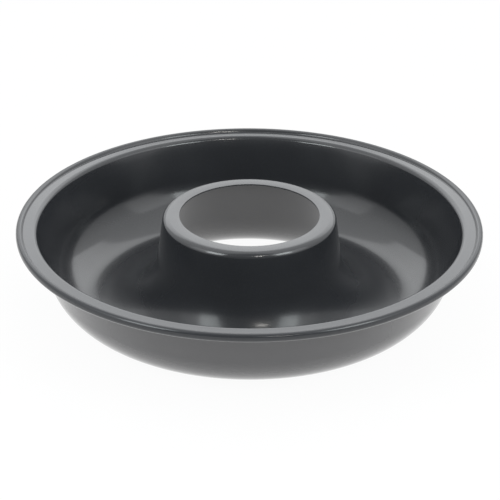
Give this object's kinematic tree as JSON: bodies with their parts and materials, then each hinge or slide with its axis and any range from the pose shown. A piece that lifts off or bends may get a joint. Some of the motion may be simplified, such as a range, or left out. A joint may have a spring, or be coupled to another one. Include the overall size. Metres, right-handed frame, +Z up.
{
  "type": "savarin mould",
  "caption": "Round ring cake mould: a half-round trough round a pierced central tube, with a flange and a rolled rim, glossy non-stick inside and satin grey outside.",
  "frame": {"origin": "centre of the flat ring that the mould stands on", "axes": "+Z up along the mould's axis; the picture looks along +Y, with +X to the right"},
  "size_m": [0.24, 0.24, 0.0487],
  "materials": {
    "steel": "cold-rolled steel sheet, bare under the coats",
    "wire": "drawn steel wire",
    "glossy_coat": "glossy charcoal non-stick coat",
    "satin_coat": "satin mid-grey coat"
  },
  "bodies": {
    "root": {"steel_shell": "steel", "rim_wire": "wire", "food_side_coat": "glossy_coat", "outer_coat": "satin_coat"}
  },
  "joints": []
}
